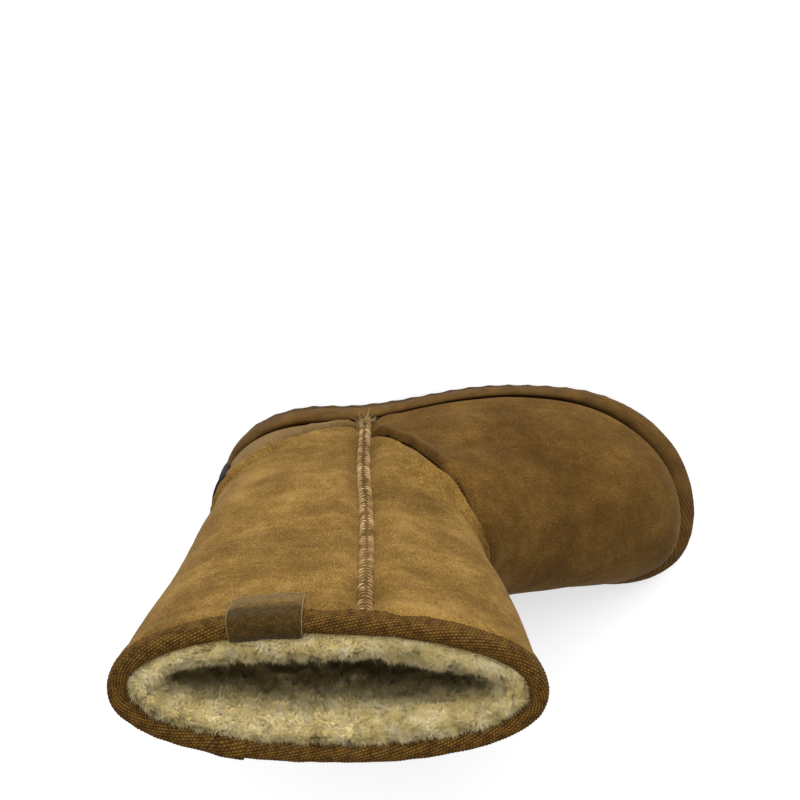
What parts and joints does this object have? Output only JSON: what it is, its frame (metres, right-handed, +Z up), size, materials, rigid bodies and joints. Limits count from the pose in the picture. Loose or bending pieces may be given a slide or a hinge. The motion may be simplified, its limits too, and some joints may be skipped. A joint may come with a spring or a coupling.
{
  "type": "sheepskin boot",
  "caption": "Left sheepskin boot: hollow suede shaft and foot lined with deep wool, taped collar with a folded pull tab, wrapped sole edge and lugged rubber outsole.",
  "frame": {"origin": "on the floor under the middle of the heel, at the centre of the outsole's flat heel spot", "axes": "+X towards the toe, +Y towards the outer side of the left foot, +Z up the shaft"},
  "size_m": [0.2845, 0.1181, 0.2483],
  "materials": {
    "outsole_rubber": "matt dark brown-grey moulded rubber",
    "sole_wrap": "brown ribbed cloth wrap",
    "wool": "cream shorn wool",
    "suede": "chestnut suede, mottled nap",
    "twill_tape": "dark brown twill tape",
    "tab_suede": "brown suede strap",
    "label_rubber": "matt black rubber"
  },
  "bodies": {
    "root": {"outsole": "outsole_rubber", "midsole": "sole_wrap", "insole": "wool", "upper": "suede", "collar_binding": "twill_tape", "pull_tab": "tab_suede", "heel_label": "label_rubber"}
  },
  "joints": []
}
